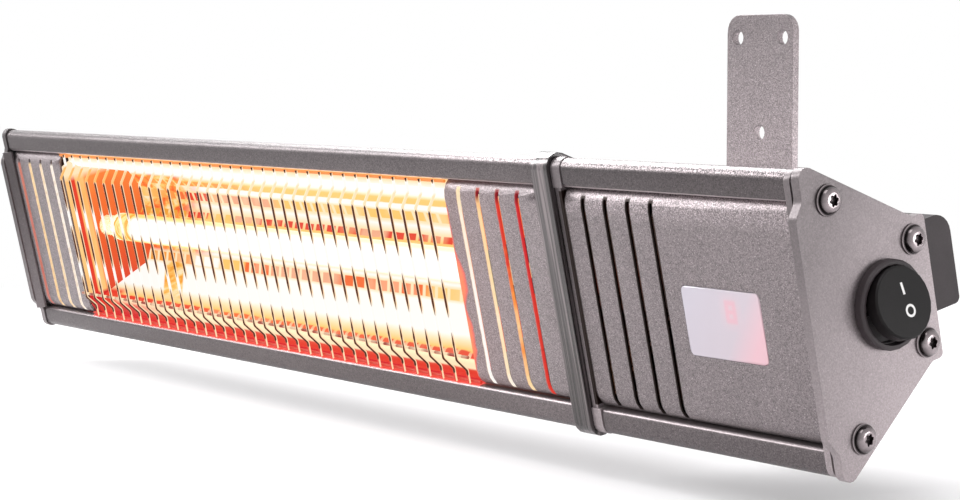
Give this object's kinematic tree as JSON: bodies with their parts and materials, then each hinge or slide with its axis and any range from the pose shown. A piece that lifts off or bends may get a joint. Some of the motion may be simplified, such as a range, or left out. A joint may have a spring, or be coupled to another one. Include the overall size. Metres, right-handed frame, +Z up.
{
  "type": "infrared bar heater",
  "caption": "Wall-mounted infrared bar heater with a guarded lamp window, a slotted control section, a rocker switch on the end plate and a tilting wall bracket.",
  "frame": {"origin": "centre of the wall bracket's back face", "axes": "+X along the heater to its switch end, -Y out of the wall to the room, +Z up"},
  "size_m": [0.7363, 0.1698, 0.1947],
  "materials": {
    "powder_silver": "fine-grained metallic powder coat",
    "profile_silver": "fine-grained metallic coat, darker and smoother on the extrusion",
    "end_metal": "smooth warm grey metallic",
    "dark_trim": "dark glossy",
    "rubber": "matte",
    "lens": "translucent white",
    "black_plastic": "satin black",
    "circuit": "green board",
    "guard_wire": "heat-stained bright wire",
    "reflector": "polished sheet lit by the lamp",
    "lamp_glass": "gold-coated quartz, lit",
    "filament": "glowing strip",
    "ceramic": "unglazed",
    "bare_steel": "plain sheet",
    "screw_steel": "bright zinc",
    "nylon": "black nylon"
  },
  "bodies": {
    "bracket": {"wall_bracket": "powder_silver", "pivot_bolt": "screw_steel", "pivot_nut": "screw_steel", "pivot_washer_right": "screw_steel", "pivot_washer_left": "screw_steel", "pivot_spacer_right": "nylon", "pivot_spacer_left": "nylon"},
    "heater": {"heater_housing": "profile_silver", "control_housing": "profile_silver", "left_end_cap": "end_metal", "left_gasket": "rubber", "right_end_plate": "end_metal", "right_gasket": "rubber", "right_end_frame": "end_metal", "collar_flange": "end_metal", "collar": "dark_trim", "collar_ring": "end_metal", "left_panel": "powder_silver", "right_panel": "powder_silver", "control_panel": "powder_silver", "display_lens": "lens", "display_module": "black_plastic", "control_board": "circuit", "wire_guard": "guard_wire", "reflector": "reflector", "reflector_end_left": "reflector", "reflector_end_right": "reflector", "lamp_tube": "lamp_glass", "lamp_filament": "filament", "lamp_cap_left": "ceramic", "lamp_cap_right": "ceramic", "lamp_holder_left": "bare_steel", "lamp_holder_right": "bare_steel", "switch_base": "black_plastic", "rear_box": "black_plastic", "rear_box_screw_1": "screw_steel", "rear_box_screw_2": "screw_steel", "cable_gland": "black_plastic", "end_screw_right_1": "screw_steel", "end_screw_right_2": "screw_steel", "end_screw_right_3": "screw_steel", "end_screw_right_4": "screw_steel", "end_screw_left_1": "screw_steel", "end_screw_left_2": "screw_steel", "end_screw_left_3": "screw_steel", "end_screw_left_4": "screw_steel", "body_bracket": "powder_silver", "clamp_screw_upper": "screw_steel", "clamp_screw_lower": "screw_steel", "slot_nut_upper": "screw_steel", "slot_nut_lower": "screw_steel"},
    "rocker": {"switch_rocker": "black_plastic"}
  },
  "joints": [
    {"name": "heater_tilt", "type": "hinge", "parent": "bracket", "child": "heater", "pos_m": [0, -0.0616, -0.0396], "axis": [1, 0, 0], "range_deg": [-12.6, 32.4]},
    {"name": "rocker_switch", "type": "hinge", "parent": "heater", "child": "rocker", "pos_m": [0.1975, -0.11801, -0.05221], "axis": [0, 0.9759, 0.2181], "range_deg": [0, 26]}
  ]
}
